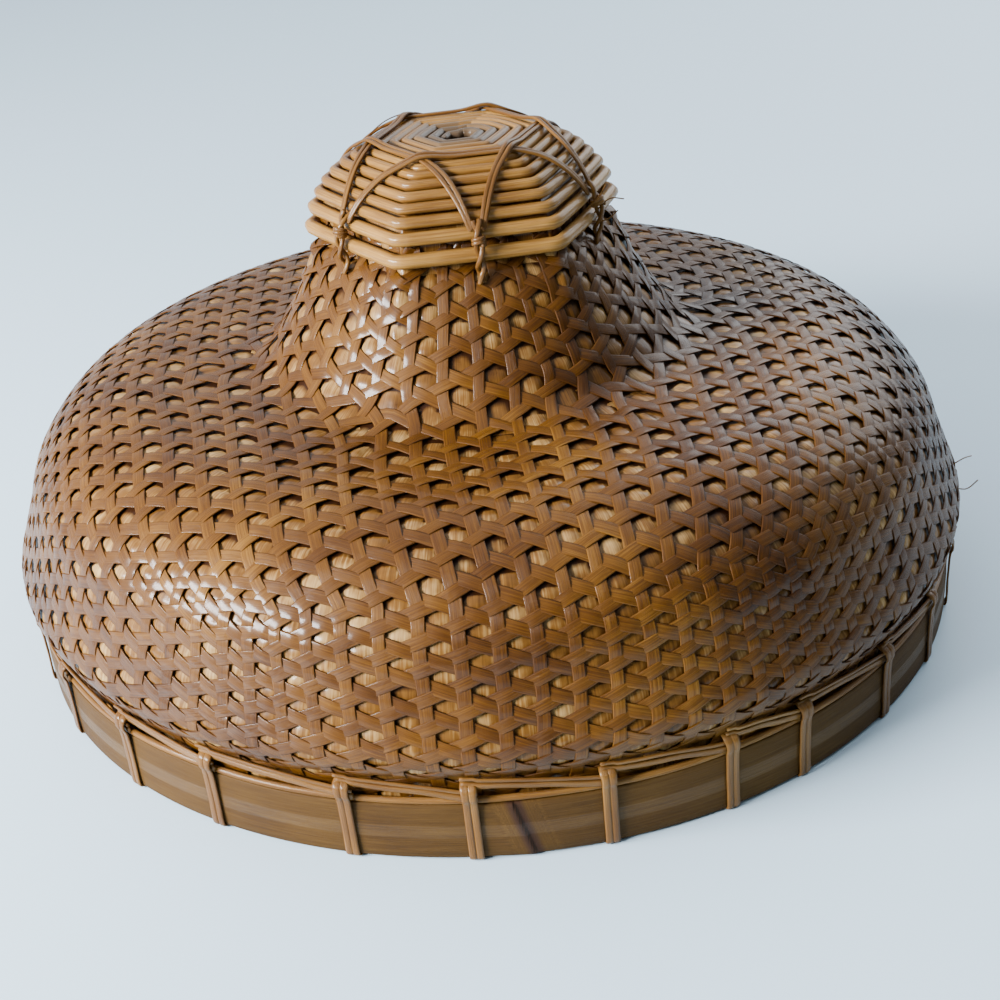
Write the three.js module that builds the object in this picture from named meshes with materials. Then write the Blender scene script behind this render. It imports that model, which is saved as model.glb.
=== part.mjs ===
// Rattan field hat: an open hexagonal weave over a leaf lining, a hexagonal coiled cap on the crown
// held by crossed double strands, and a split-cane band lashed round the rim.
// Millimetres, +Z up. The origin is the middle of the hat on the plane that its rim rests on,
// and the front knot of the cap points to -Y.
import * as THREE from 'three';

// Weave and lining
const weaveWall = 1.6;
const liningWall = 1.0;
const clearance = 0.3;
const hatSegments = 36;

// Outer face of the weave from the rim up to the cap. hex is how far the ring leans to a hexagon.
const sideProfile = [
  { r: 196.2, z: 1.6, hex: 0 },
  { r: 196.3, z: 28, hex: 0 },
  { r: 203, z: 45, hex: 0 },
  { r: 199.4, z: 58, hex: 0 },
  { r: 194.6, z: 71, hex: 0 },
  { r: 188, z: 88, hex: 0 },
  { r: 172, z: 104.5, hex: 0 },
  { r: 147.5, z: 114, hex: 0 },
  { r: 113, z: 116, hex: 0 },
  { r: 90, z: 118.8, hex: 0 },
  { r: 78, z: 132, hex: 0.1 },
  { r: 67, z: 148, hex: 0.3 },
  { r: 57, z: 163.5, hex: 0.8 },
  { r: 52.3, z: 168, hex: 0.88 },
];

// Cap: centre line of the coiled rod from its lowest round to the middle of the crown
const capLine = new THREE.SplineCurve([
  new THREE.Vector2(54.5, 172.1),
  new THREE.Vector2(53.3, 178.2),
  new THREE.Vector2(50.4, 185.3),
  new THREE.Vector2(45.7, 192),
  new THREE.Vector2(38.9, 197.6),
  new THREE.Vector2(29.1, 201),
  new THREE.Vector2(15, 201.9),
  new THREE.Vector2(0, 200.9),
]);
const capHex = 0.9;
const rodRadius = 2.1;
const rodPitch = 5.1;
const rodSpread = 6.5;
const rodSpreadOver = 7;
const rodSides = 5;
const roundSteps = 18;
const coilEye = 3.5;
const coilStart = 80;
const climbFrom = 5 / 6;
const domeStations = 6;
const coilSeat = 0.5;

// Cap ties: double strands that join every second knot across the coil
const sideCount = 6;
const firstKnot = -90;
const tieWidth = 3.6;
const tieThickness = 1.3;
const tieLift = 3.4;
const tieCrossLift = 2.4;
const tieCrossWidth = 9;
const tieEnd = 0.13;
const tieKnotTurn = 2.4;
const tieSteps = 18;
const knotWidth = 4.6;
const knotOutline = [
  [56.9, 179.2],
  [58.6, 179.6],
  [59.4, 177],
  [59.4, 169.3],
  [58.2, 167.3],
  [55.5, 167.3],
  [55.5, 168.4],
  [56.9, 168.6],
];

// Rim: a flat cane band, a filler strand on its top edge and the bindings round both
const rimSegments = 72;
const bandOuter = 199;
const bandWall = 2.4;
const bandFoot = 1;
const bandTop = 24.5;
const lapStep = 0.8;
const lapEdge = -94.3;
const lapEnd = -98.4;
const lapSlant = 1;
const lapGap = 0.3;
const fillerRing = 198.2;
const fillerHeight = 26.4;
const fillerRadius = 1.5;
const fillerSides = 4;
const bindingWidth = 4.6;
const bindingOutline = [
  [197.9, 30.1],
  [200.2, 29.2],
  [201.2, 27.4],
  [200.7, 24.2],
  [200.7, 1.2],
  [199.6, 0],
  [191.9, 0],
  [190.8, 1.2],
  [190.8, 26],
  [192.2, 26],
  [192.2, 0.7],
  [199.3, 0.7],
  [199.3, 24.9],
  [200, 26.4],
  [199.3, 28],
  [198, 28.5],
];
// Azimuths of the bindings across the front, in degrees. The others share the back evenly.
const frontBindings = [-168.5, -155.5, -141.5, -128.5, -112.5, -99.5, -85.5, -72, -62.5, -48.5, -36];
const bindingCount = 28;

// Finish of each kind of piece
const finishes = {
  weave: new THREE.MeshStandardMaterial({ color: 0x8a5e34, roughness: 0.38, metalness: 0 }),
  leaf: new THREE.MeshStandardMaterial({ color: 0xa47a4c, roughness: 0.7, metalness: 0 }),
  rod: new THREE.MeshStandardMaterial({ color: 0x9a7045, roughness: 0.45, metalness: 0 }),
  strand: new THREE.MeshStandardMaterial({ color: 0x8f6940, roughness: 0.5, metalness: 0 }),
  band: new THREE.MeshStandardMaterial({ color: 0x74512f, roughness: 0.5, metalness: 0 }),
};

const radians = (degrees) => THREE.MathUtils.degToRad(degrees);

// Radius of a rounded hexagon against its mid-side radius. The knots sit at its mid-sides.
function hexagonFactor(azimuth, hex) {
  const side = 360 / sideCount;
  const local = THREE.MathUtils.euclideanModulo(azimuth - firstKnot + side / 2, side) - side / 2;
  return 1 + hex * (1 / Math.cos(radians(local)) - 1);
}

// Point and outward normal of the cap's centre line at a length from its lowest round
function capAt(length) {
  const u = THREE.MathUtils.clamp(length / capLine.getLength(), 0, 1);
  const point = capLine.getPointAt(u);
  const along = capLine.getTangentAt(u);
  return { point, normal: new THREE.Vector2(along.y, -along.x) };
}

// The whole outer face of the weave, rim to crown centre, as rows of r, z and hex
function weaveRows() {
  const rows = sideProfile.map((row) => ({ ...row }));
  for (let i = 0; i <= domeStations; i++) {
    const { point, normal } = capAt((capLine.getLength() * i) / domeStations);
    point.addScaledVector(normal, -(rodRadius + coilSeat));
    rows.push({ r: point.x, z: point.y, hex: capHex });
  }
  rows.at(-1).r = 0;
  return rows;
}

// The rows moved inwards by a distance, square to the profile
function offsetRows(rows, distance) {
  const moved = rows.map((row, i) => {
    const before = rows[Math.max(i - 1, 0)];
    const after = rows[Math.min(i + 1, rows.length - 1)];
    const length = Math.hypot(after.r - before.r, after.z - before.z);
    const inR = -(after.z - before.z) / length;
    const inZ = (after.r - before.r) / length;
    return { r: row.r + inR * distance, z: row.z + inZ * distance, hex: row.hex };
  });
  moved[0].z = rows[0].z;
  moved.at(-1).r = 0;
  moved.at(-1).z = rows.at(-1).z - distance;
  return moved;
}

// A wall between two sets of rows that end on the axis. Its rings run from the inner crown down to
// the rim and up the outside. Both faces split their quads along the same diagonal, so that
// neighbouring walls keep their gap where the rings ease to the hexagon.
function shell(outer, inner) {
  const rows = [...inner].reverse().concat(outer);
  const rings = rows.length - 2;
  const vertices = [0, 0, rows[0].z, 0, 0, rows.at(-1).z];
  for (const row of rows.slice(1, -1)) {
    for (let j = 0; j < hatSegments; j++) {
      const azimuth = firstKnot + (j * 360) / hatSegments;
      const r = row.r * hexagonFactor(azimuth, row.hex);
      vertices.push(r * Math.cos(radians(azimuth)), r * Math.sin(radians(azimuth)), row.z);
    }
  }
  const faces = [];
  const at = (ring, j) => 2 + ring * hatSegments + (j % hatSegments);
  for (let j = 0; j < hatSegments; j++) {
    faces.push(0, at(0, j + 1), at(0, j), 1, at(rings - 1, j), at(rings - 1, j + 1));
    for (let i = 0; i + 1 < rings; i++) {
      const a = at(i, j);
      const b = at(i, j + 1);
      const c = at(i + 1, j);
      const d = at(i + 1, j + 1);
      if (i + 1 < inner.length) {
        faces.push(a, b, c, b, d, c);
      } else {
        faces.push(a, b, d, a, d, c);
      }
    }
  }
  const geometry = new THREE.BufferGeometry();
  geometry.setAttribute('position', new THREE.Float32BufferAttribute(vertices, 3));
  geometry.setIndex(faces);
  return geometry;
}

// Rings of equally many points joined into one skin, closed into a loop or by a cap at both ends
function skin(rings, loop) {
  const count = rings[0].length;
  const faces = [];
  const joins = loop ? rings.length : rings.length - 1;
  for (let i = 0; i < joins; i++) {
    for (let j = 0; j < count; j++) {
      const a = i * count + j;
      const b = i * count + ((j + 1) % count);
      const c = ((i + 1) % rings.length) * count + j;
      const d = ((i + 1) % rings.length) * count + ((j + 1) % count);
      faces.push(a, b, d, a, d, c);
    }
  }
  const last = (rings.length - 1) * count;
  for (let j = 1; j + 1 < count && !loop; j++) {
    faces.push(0, j + 1, j, last, last + j, last + j + 1);
  }
  const geometry = new THREE.BufferGeometry();
  const vertices = rings.flat().flatMap((point) => [point.x, point.y, point.z]);
  geometry.setAttribute('position', new THREE.Float32BufferAttribute(vertices, 3));
  geometry.setIndex(faces);
  return geometry;
}

// A section of [across, out] points carried along stations of { centre, across, out }
function sweep(stations, section) {
  const rings = stations.map(({ centre, across, out }) =>
    section.map(([a, b]) => centre.clone().addScaledVector(across, a).addScaledVector(out, b)),
  );
  return skin(rings, false);
}

// Sweep stations along a list of points with the outward normals given
function stationsAlong(points, normals) {
  return points.map((centre, i) => {
    const before = points[Math.max(i - 1, 0)];
    const after = points[Math.min(i + 1, points.length - 1)];
    const along = after.clone().sub(before).normalize();
    const across = new THREE.Vector3().crossVectors(along, normals[i]).normalize();
    const out = new THREE.Vector3().crossVectors(across, along);
    return { centre, across, out };
  });
}

// A point of the cap in space, from a length along its centre line, an azimuth and a lift
function capPoint(length, azimuth, lift) {
  const { point, normal } = capAt(length);
  const angle = radians(azimuth);
  const r = (point.x + normal.x * lift) * hexagonFactor(azimuth, capHex);
  return {
    centre: new THREE.Vector3(r * Math.cos(angle), r * Math.sin(angle), point.y + normal.y * lift),
    normal: new THREE.Vector3(normal.x * Math.cos(angle), normal.x * Math.sin(angle), normal.y),
  };
}

// The coiled rod. Each round lies level for most of its turn, and climbs one pitch in its last part.
// The lowest rounds are spread apart, and the upper ones lie closer for it.
function coil() {
  const reach = capLine.getLength() - coilEye;
  const steps = Math.floor((reach / rodPitch) * roundSteps);
  const points = [];
  const normals = [];
  for (let i = 0; i <= steps; i++) {
    const round = Math.floor(i / roundSteps);
    const turn = i / roundSteps;
    const climb = THREE.MathUtils.smoothstep(turn - round, climbFrom, 1);
    const level = (round + climb) * rodPitch;
    const spread = rodSpread * (1 - Math.exp(-level / rodSpreadOver)) * (1 - level / reach);
    const { centre, normal } = capPoint(level + spread, coilStart + turn * 360, 0);
    points.push(centre);
    normals.push(normal);
  }
  const section = [];
  for (let j = 0; j < rodSides; j++) {
    const angle = (2 * Math.PI * (j + 0.5)) / rodSides;
    section.push([-rodRadius * Math.sin(angle), -rodRadius * Math.cos(angle)]);
  }
  return sweep(stationsAlong(points, normals), section);
}

// Length along the cap at which the lifted surface has a given mid-side radius
function lengthAtRadius(radius) {
  let low = 0;
  let high = capLine.getLength();
  for (let i = 0; i < 40; i++) {
    const middle = (low + high) / 2;
    const { point, normal } = capAt(middle);
    if (point.x + normal.x * tieLift > radius) {
      low = middle;
    } else {
      high = middle;
    }
  }
  return low;
}

// A tie runs straight in plan from one knot to the second next one. It climbs over the first tie
// that it meets and passes under the second.
function tie(index) {
  const side = 360 / sideCount;
  const { point, normal } = capAt(tieEnd * capLine.getLength());
  const reach = point.x + normal.x * tieLift;
  const from = firstKnot + side * index + tieKnotTurn;
  const to = firstKnot + side * (index + 2) - tieKnotTurn;
  const start = new THREE.Vector2(Math.cos(radians(from)), Math.sin(radians(from))).multiplyScalar(reach);
  const stop = new THREE.Vector2(Math.cos(radians(to)), Math.sin(radians(to))).multiplyScalar(reach);
  const span = start.distanceTo(stop);
  const points = [];
  const normals = [];
  for (let i = 0; i < tieSteps; i++) {
    const t = (1 - Math.cos((Math.PI * i) / (tieSteps - 1))) / 2;
    const flat = start.clone().lerp(stop, t);
    const azimuth = THREE.MathUtils.radToDeg(Math.atan2(flat.y, flat.x));
    const length = lengthAtRadius(flat.length() / hexagonFactor(azimuth, capHex));
    const offset = (t - 1 / 3) * span / tieCrossWidth;
    const lift = tieLift + tieCrossLift * Math.exp(-offset * offset);
    const placed = capPoint(length, azimuth, lift);
    points.push(placed.centre);
    normals.push(placed.normal);
  }
  const a = tieWidth / 2;
  const b = tieThickness / 2;
  return sweep(stationsAlong(points, normals), [[-a, -b], [-a, b], [a, b], [a, -b]]);
}

// An outline in r and z, as thick as width, stood up in the radial plane of an azimuth
function radialPlate(outline, width, azimuth) {
  const shape = new THREE.Shape(outline.map(([r, z]) => new THREE.Vector2(r, z)));
  const geometry = new THREE.ExtrudeGeometry(shape, { depth: width, bevelEnabled: false });
  geometry.translate(0, 0, -width / 2);
  geometry.rotateX(Math.PI / 2);
  geometry.rotateZ(radians(azimuth));
  return geometry;
}

// A point on a circle about the axis
function aroundRim(r, azimuth, z) {
  return new THREE.Vector3(r * Math.cos(radians(azimuth)), r * Math.sin(radians(azimuth)), z);
}

// The band is one ring. Its free end laps over its start: a slanted edge stands out by the lap's
// step, and the step fades away along the ring behind it.
function band() {
  const inner = bandOuter - bandWall;
  const plain = (lapEdge - lapEnd + lapGap - 360) / (rimSegments - 1);
  const marks = [{ azimuth: lapEdge, outer: bandOuter + lapStep, slant: lapSlant }];
  for (let i = 0; i < rimSegments; i++) {
    const azimuth = lapEnd + i * plain;
    const slant = i === rimSegments - 1 ? lapSlant : 0;
    marks.push({ azimuth, outer: bandOuter, slant });
  }
  const rings = marks.map(({ azimuth, outer, slant }) => [
    aroundRim(outer, azimuth + slant, bandFoot),
    aroundRim(outer, azimuth - slant, bandTop),
    aroundRim(inner, azimuth - slant, bandTop),
    aroundRim(inner, azimuth + slant, bandFoot),
  ]);
  return skin(rings, true);
}

// The filler strand on the band's top edge
function filler() {
  const geometry = new THREE.TorusGeometry(fillerRing, fillerRadius, fillerSides, rimSegments);
  geometry.translate(0, 0, fillerHeight);
  return geometry;
}

function bindingAzimuths() {
  const first = frontBindings[0] + 360;
  const last = frontBindings.at(-1);
  const spare = bindingCount - frontBindings.length;
  const back = [];
  for (let i = 1; i <= spare; i++) {
    back.push(last + ((first - last) * i) / (spare + 1));
  }
  return frontBindings.concat(back);
}

const hat = new THREE.Group();
hat.name = 'rattan_hat';

function addPiece(name, geometry, finish) {
  const mesh = new THREE.Mesh(geometry, finish);
  mesh.name = name;
  hat.add(mesh);
}

const weaveOuter = weaveRows();
const weaveInner = offsetRows(weaveOuter, weaveWall);
const liningOuter = offsetRows(weaveOuter, weaveWall + clearance);
const liningInner = offsetRows(weaveOuter, weaveWall + clearance + liningWall);

addPiece('woven_body', shell(weaveOuter, weaveInner), finishes.weave);
addPiece('leaf_lining', shell(liningOuter, liningInner), finishes.leaf);
addPiece('crown_coil', coil(), finishes.rod);
for (let i = 0; i < sideCount; i++) {
  const knotAzimuth = firstKnot + (i * 360) / sideCount;
  addPiece(`crown_tie_${i + 1}`, tie(i), finishes.strand);
  addPiece(`crown_knot_${i + 1}`, radialPlate(knotOutline, knotWidth, knotAzimuth), finishes.strand);
}
addPiece('rim_band', band(), finishes.band);
addPiece('rim_filler', filler(), finishes.strand);
bindingAzimuths().forEach((azimuth, i) => {
  const name = `rim_binding_${String(i + 1).padStart(2, '0')}`;
  addPiece(name, radialPlate(bindingOutline, bindingWidth, azimuth), finishes.strand);
});

export default hat;
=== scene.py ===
# Rattan field hat: weave of split strips over a leaf lining, coiled cap, crossed ties and lashed rim.
# The hat and the camera are in millimetres, and become metres where they are made. The lights and the
# floor are in metres.
import math

import bpy
import numpy as np
from mathutils import Matrix, Vector


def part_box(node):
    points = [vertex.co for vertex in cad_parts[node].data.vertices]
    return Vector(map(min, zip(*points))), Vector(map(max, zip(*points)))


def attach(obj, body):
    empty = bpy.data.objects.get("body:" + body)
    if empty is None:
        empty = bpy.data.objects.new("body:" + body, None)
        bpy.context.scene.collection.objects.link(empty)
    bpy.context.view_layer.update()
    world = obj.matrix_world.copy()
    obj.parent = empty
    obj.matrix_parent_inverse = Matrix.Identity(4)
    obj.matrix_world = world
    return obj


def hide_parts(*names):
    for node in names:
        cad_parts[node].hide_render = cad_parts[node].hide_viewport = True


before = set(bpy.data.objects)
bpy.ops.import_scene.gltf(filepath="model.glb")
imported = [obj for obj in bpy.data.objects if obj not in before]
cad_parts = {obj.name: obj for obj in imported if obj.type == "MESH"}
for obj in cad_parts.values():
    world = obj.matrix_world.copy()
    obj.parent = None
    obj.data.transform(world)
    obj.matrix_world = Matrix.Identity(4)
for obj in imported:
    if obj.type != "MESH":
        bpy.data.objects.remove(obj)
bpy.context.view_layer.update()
mm = 0.001
tau = 2 * math.pi
print("frame loaded:", len(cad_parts), "nodes")


# The hat's form: the outer face of the weave from the rim up to the cap, and the cap's rod line
hat = {
    "side": [(196.2, 1.6, 0), (196.3, 28, 0), (203, 45, 0), (199.4, 58, 0), (194.6, 71, 0),
             (188, 88, 0), (172, 104.5, 0), (147.5, 114, 0), (113, 116, 0), (90, 118.8, 0),
             (78, 132, 0.1), (67, 148, 0.3), (57, 163.5, 0.8), (52.3, 168, 0.88)],  # r, z, hexagon
    "cap": [(54.5, 172.1), (53.3, 178.2), (50.4, 185.3), (45.7, 192), (38.9, 197.6), (29.1, 201),
            (15, 201.9), (0, 200.9)],  # r, z of the rod's centre line
    "capHex": 0.9,
    "seat": 2.6,       # from the cap's rod line down to the weave
    "firstKnot": -90,  # azimuth of the front knot, the middle of the cap's front side
    "sides": 6,
    "samples": 900,
    "domeRows": 7,
}
sideAngle = 360 / hat["sides"]


# Catmull-Rom curve through points: each span blends two tangents of half the neighbours' distance.
def smoothCurve(points, count):
    p = np.array(points, float)
    q = np.vstack([2 * p[0] - p[1], p, 2 * p[-1] - p[-2]])
    u = np.linspace(0, len(p) - 1 - 1e-9, count)
    i = u.astype(int)
    f = (u - i)[:, None]
    a, b, c, d = q[i], q[i + 1], q[i + 2], q[i + 3]
    return 0.5 * (2 * b + (c - a) * f + (2 * a - 5 * b + 4 * c - d) * f**2 + (3 * b - a - 3 * c + d) * f**3)


# Length along an (r, z) curve and its outward normal: the tangent turned by a quarter turn.
def withNormals(curve):
    step = np.gradient(curve[:, :2], axis=0)
    size = np.hypot(step[:, 0], step[:, 1])
    length = np.concatenate([[0], np.cumsum(np.hypot(*np.diff(curve[:, :2], axis=0).T))])
    return length, np.stack([step[:, 1], -step[:, 0]], 1) / size[:, None]


capCurve = smoothCurve(hat["cap"], hat["samples"])
capLength, capNormal = withNormals(capCurve)
domeRows = np.linspace(0, hat["samples"] - 1, hat["domeRows"]).astype(int)
domePoints = capCurve[domeRows] - hat["seat"] * capNormal[domeRows]
bodyRows = hat["side"] + [(r, z, hat["capHex"]) for r, z in domePoints]
bodyCurve = smoothCurve(bodyRows, 3 * hat["samples"])[::-1]
bodyCurve[:, 0] = np.maximum(bodyCurve[:, 0], 0)
bodyLength, bodyNormal = withNormals(bodyCurve)
bodyNormal = -bodyNormal


# Length from the middle of the crown down the hat to a height.
def bodyLengthAt(z):
    return np.interp(-z, -bodyCurve[:, 1], bodyLength)


capEdge = bodyLengthAt(domePoints[0, 1])  # where the cap's lowest round lies


# Azimuth counted from the middle of its side of the hexagon.
def fromSideMiddle(azimuth):
    return (azimuth - hat["firstKnot"] + sideAngle / 2) % sideAngle - sideAngle / 2


# Rounded hexagon: 1 at the middle of a side, up to 1/cos 30 at a corner, scaled by hexagon.
def hexFactor(azimuth, hexagon):
    return 1 + hexagon * (1 / np.cos(np.radians(fromSideMiddle(azimuth))) - 1)


# A point and its normal, given by radius and height, turned to an azimuth.
def turnTo(azimuth, radius, z, normalR, normalZ):
    c, s = np.cos(np.radians(azimuth)), np.sin(np.radians(azimuth))
    return np.stack([radius * c, radius * s, z], -1), np.stack([normalR * c, normalR * s, normalZ], -1)


# Point and normal of the hat: the curve read at a length below the cap's edge, stretched to the
# hexagon and then moved out by lift.
def onBody(azimuth, below, lift):
    at = capEdge + below
    r, z, hexagon = (np.interp(at, bodyLength, bodyCurve[:, k]) for k in range(3))
    nr, nz = (np.interp(at, bodyLength, bodyNormal[:, k]) for k in range(2))
    factor = hexFactor(azimuth, np.clip(hexagon, 0, 1))
    return turnTo(azimuth, r * factor + nr * lift, z + nz * lift, nr, nz)


# Point and normal of the cap: the rod's centre line moved out by lift and then stretched to the
# hexagon.
def onCap(length, azimuth, lift):
    r, z = (np.interp(length, capLength, capCurve[:, k]) for k in range(2))
    nr, nz = (np.interp(length, capLength, capNormal[:, k]) for k in range(2))
    return turnTo(azimuth, (r + nr * lift) * hexFactor(azimuth, hat["capHex"]), z + nz * lift, nr, nz)


# A smooth random line: a sum of sines with random phases, reach high.
def wander(count, reach, waves, seed):
    random = np.random.default_rng(seed)
    u = np.linspace(0, 1, count)
    parts = [np.sin(tau * (k * u + random.random())) * random.normal() / k**0.5 for k in range(1, waves + 1)]
    return reach * np.sum(parts, 0) / waves**0.5


# A sum of sines round the hat, each with its reach, its count of waves, the length below the cap's
# edge over which it drifts by one radian, and its phase.
def ripple(waves, angle, below=0):
    return sum(reach * np.sin(count * angle + below / drift + phase) for reach, count, drift, phase in waves)


# A flattened oval: cosine and sine raised to a power under 1 fill out its corners.
def ovalSection(width, thickness, count, squareness):
    a = tau * (np.arange(count) + 0.5) / count
    across = np.sign(np.cos(a)) * np.abs(np.cos(a)) ** squareness * width / 2
    out = np.sign(np.sin(a)) * np.abs(np.sin(a)) ** squareness * thickness / 2
    return np.stack([across, out], 1)


# The oval section that a piece's settings describe.
def sectionOf(s):
    return ovalSection(s["width"], s["thickness"], s["sectionPoints"], s["squareness"])


# A section carried along a path: centre + across * a + out * b, with out square to the path.
def carry(path, normals, section, scale=None):
    along = np.gradient(path, axis=0)
    along /= np.linalg.norm(along, axis=1)[:, None]
    across = np.cross(along, normals)
    across /= np.linalg.norm(across, axis=1)[:, None]
    out = np.cross(across, along)
    scale = np.ones(len(path)) if scale is None else scale
    a = section[None, :, 0, None] * scale[:, None, None]
    b = section[None, :, 1, None] * scale[:, None, None]
    return path[:, None] + across[:, None] * a + out[:, None] * b


# Grain coordinates: length along the path, place across the section, and the strand's number.
def grainOf(path, section, number):
    length = np.concatenate([[0], np.cumsum(np.linalg.norm(np.diff(path, axis=0), axis=1))])
    across = section[:, 0] / np.abs(section[:, 0]).max()
    shape = (len(path), len(section))
    return np.stack([np.broadcast_to(length[:, None], shape), np.broadcast_to(across, shape),
                     np.full(shape, number)], -1)


# Grids of points gathered into one mesh, with a grain attribute: length, across, strand number.
class Build:
    def __init__(self):
        self.points, self.grain, self.quads, self.caps, self.count = [], [], [], [], 0

    # A grid of rings. Neighbouring rings are joined, and the ends are capped unless it is a loop.
    def add(self, grid, grain, loop=False):
        rings, size = grid.shape[:2]
        ring = np.arange(rings if loop else rings - 1)[:, None] * size
        after = (ring + size) % (rings * size)
        j = np.arange(size)
        beside = (j + 1) % size
        quads = np.stack([ring + j, ring + beside, after + beside, after + j], -1)
        self.quads.append(quads.reshape(-1, 4) + self.count)
        if not loop:
            self.caps += [j[::-1] + self.count, j + self.count + (rings - 1) * size]
        self.points.append(grid.reshape(-1, 3))
        self.grain.append(np.broadcast_to(grain, (rings, size, 3)).reshape(-1, 3))
        self.count += rings * size

    # A strand: the section carried along a path, with its grain.
    def strand(self, path, normals, section, number, scale=None):
        self.add(carry(path, normals, section, scale), grainOf(path, section, number))

    # The gathered grids as one smooth object with its material.
    def finish(self, name, material):
        points = np.concatenate(self.points) * mm
        quads = np.concatenate(self.quads)
        sizes = np.concatenate([np.full(len(quads), 4), [len(c) for c in self.caps]]).astype(np.int32)
        starts = np.concatenate([[0], np.cumsum(sizes)[:-1]]).astype(np.int32)
        corners = np.concatenate([quads.ravel(), *self.caps]).astype(np.int32)
        mesh = bpy.data.meshes.new(name)
        mesh.vertices.add(len(points))
        mesh.vertices.foreach_set("co", points.astype(np.float32).ravel())
        mesh.loops.add(len(corners))
        mesh.loops.foreach_set("vertex_index", corners)
        mesh.polygons.add(len(sizes))
        mesh.polygons.foreach_set("loop_start", starts)
        mesh.polygons.foreach_set("loop_total", sizes)
        mesh.update(calc_edges=True)
        mesh.validate()
        grain = mesh.attributes.new("grain", "FLOAT_VECTOR", "POINT")
        grain.data.foreach_set("vector", np.concatenate(self.grain).astype(np.float32).ravel())
        mesh.shade_smooth()
        mesh.materials.append(material)
        piece = bpy.data.objects.new(name, mesh)
        bpy.context.scene.collection.objects.link(piece)
        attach(piece, "root")
        print(name, "faces", len(sizes))
        return piece


# A node's output with arithmetic: each operator adds one Math node.
class Value:
    def __init__(self, paint, socket):
        self.paint, self.socket = paint, socket

    def __add__(self, other):
        return self.paint.maths("ADD", self, other)

    def __sub__(self, other):
        return self.paint.maths("SUBTRACT", self, other)

    def __mul__(self, other):
        return self.paint.maths("MULTIPLY", self, other)

    def __rsub__(self, other):
        return self.paint.maths("SUBTRACT", other, self)

    __radd__ = __add__
    __rmul__ = __mul__


# A material or world under construction: its shader, and one method that adds any other node.
class Paint:
    def __init__(self, owner):
        self.tree = owner.node_tree
        self.shader = next(n for n in self.tree.nodes if n.type in ("BSDF_PRINCIPLED", "BACKGROUND"))

    # Adds a node, sets its settings, then the values or links of its sockets.
    def node(self, kind, settings=None, values=None, output=0):
        node = self.tree.nodes.new("ShaderNode" + kind)
        for key, setting in (settings or {}).items():
            if key == "stops":
                self.fillRamp(node.color_ramp, setting)
            else:
                setattr(node, key, setting)
        for key, value in (values or {}).items():
            self.feed(node.inputs[key], value)
        return Value(self, node.outputs[output])

    def fillRamp(self, ramp, stops):
        while len(ramp.elements) < len(stops):
            ramp.elements.new(0.5)
        for element, (position, colour) in zip(ramp.elements, stops):
            element.position = position
            element.color = (*colour, 1)

    # A socket gets a link from a value, and anything else as its own number or colour.
    def feed(self, socket, value):
        if isinstance(value, Value):
            self.tree.links.new(value.socket, socket)
        else:
            socket.default_value = value

    def maths(self, operation, a, b):
        return self.node("Math", {"operation": operation}, {0: a, 1: b})

    def vector(self, x, y, z):
        return self.node("CombineXYZ", None, {0: x, 1: y, 2: z})

    def noise(self, where, scale, detail, roughness=0.55):
        values = {"Vector": where, "Scale": scale, "Detail": detail, "Roughness": roughness}
        return self.node("TexNoise", None, values)

    # A value read through a ramp of colours, given as the finish's keys and their positions.
    def ramp(self, value, finish, stops):
        return self.node("ValToRGB", {"stops": [(at, finish[key]) for key, at in stops.items()]}, {0: value})

    # Colours mixed: sockets 6 and 7 of a Mix node are its colours and its third output the result.
    def mix(self, factor, a, b):
        return self.node("Mix", {"data_type": "RGBA"}, {0: factor, 6: a, 7: b}, 2)

    # A value moved evenly from the range low to high into the range toLow to toHigh, and held there.
    def fit(self, value, low, high, toLow=0.0, toHigh=1.0):
        return self.node("MapRange", None, {0: value, 1: low, 2: high, 3: toLow, 4: toHigh})

    def set(self, **values):
        for key, value in values.items():
            self.feed(self.shader.inputs[key.replace("_", " ")], value)

    def bump(self, height, distance):
        self.set(Normal=self.node("Bump", None, {"Strength": 1.0, "Distance": distance, "Height": height}))

    # The object's own coordinates, or with output 0 the direction in which a world is seen.
    def place(self, output=3):
        return self.node("TexCoord", None, None, output)

    # The piece's grain attribute as three values: length, across and strand number.
    def grain(self):
        read = self.node("Attribute", {"attribute_name": "grain"}, None, 1)
        split = self.tree.nodes.new("ShaderNodeSeparateXYZ")
        self.feed(split.inputs[0], read)
        return [Value(self, socket) for socket in split.outputs]


def newMaterial(name):
    material = bpy.data.materials.new(name)
    material.use_nodes = True
    return material


specularLevel = 0.12     # low, because the coat gives the gloss
noiseRange = (0.3, 0.7)  # where most of a noise's values lie

# What all strip materials share. Each noise has its scale, detail and roughness after its stretch.
stripLook = {
    "streak": ((0.018, 2.2, 7.3), (2.2, 4.0, 0.6)),  # stretch along, across and from strand to strand
    "fibre": ((0.05, 9.0, 3.1), (3.0, 2.0, 0.5)),
    "strip": ((5.7, 1.3), (3.0, 1.0)),
    "blotch": (14.0, 3.0, 0.6),
    "streakShare": 0.42, "stripShare": 0.22, "blotchShare": 0.46, "fibreShare": 0.16, "middle": 0.63,
    "stops": {"deep": 0.22, "brown": 0.42, "honey": 0.60, "pale": 0.80},
    "edgeFrom": 0.75, "edgeDark": 0.25, "edgeRough": 0.2, "edgeMatt": 0.85, "stainCover": 0.85,
}
# The weave's split strips under varnish
stripFinish = {
    "deep": (0.020, 0.006, 0.001), "brown": (0.058, 0.0185, 0.001), "honey": (0.108, 0.040, 0.003),
    "pale": (0.215, 0.096, 0.013), "roughness": (0.32, 0.55), "coat": 0.27, "coatRoughness": 0.15,
    "fibre": 0.00012, "contrast": 1.5, "stain": None,
}
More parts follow.
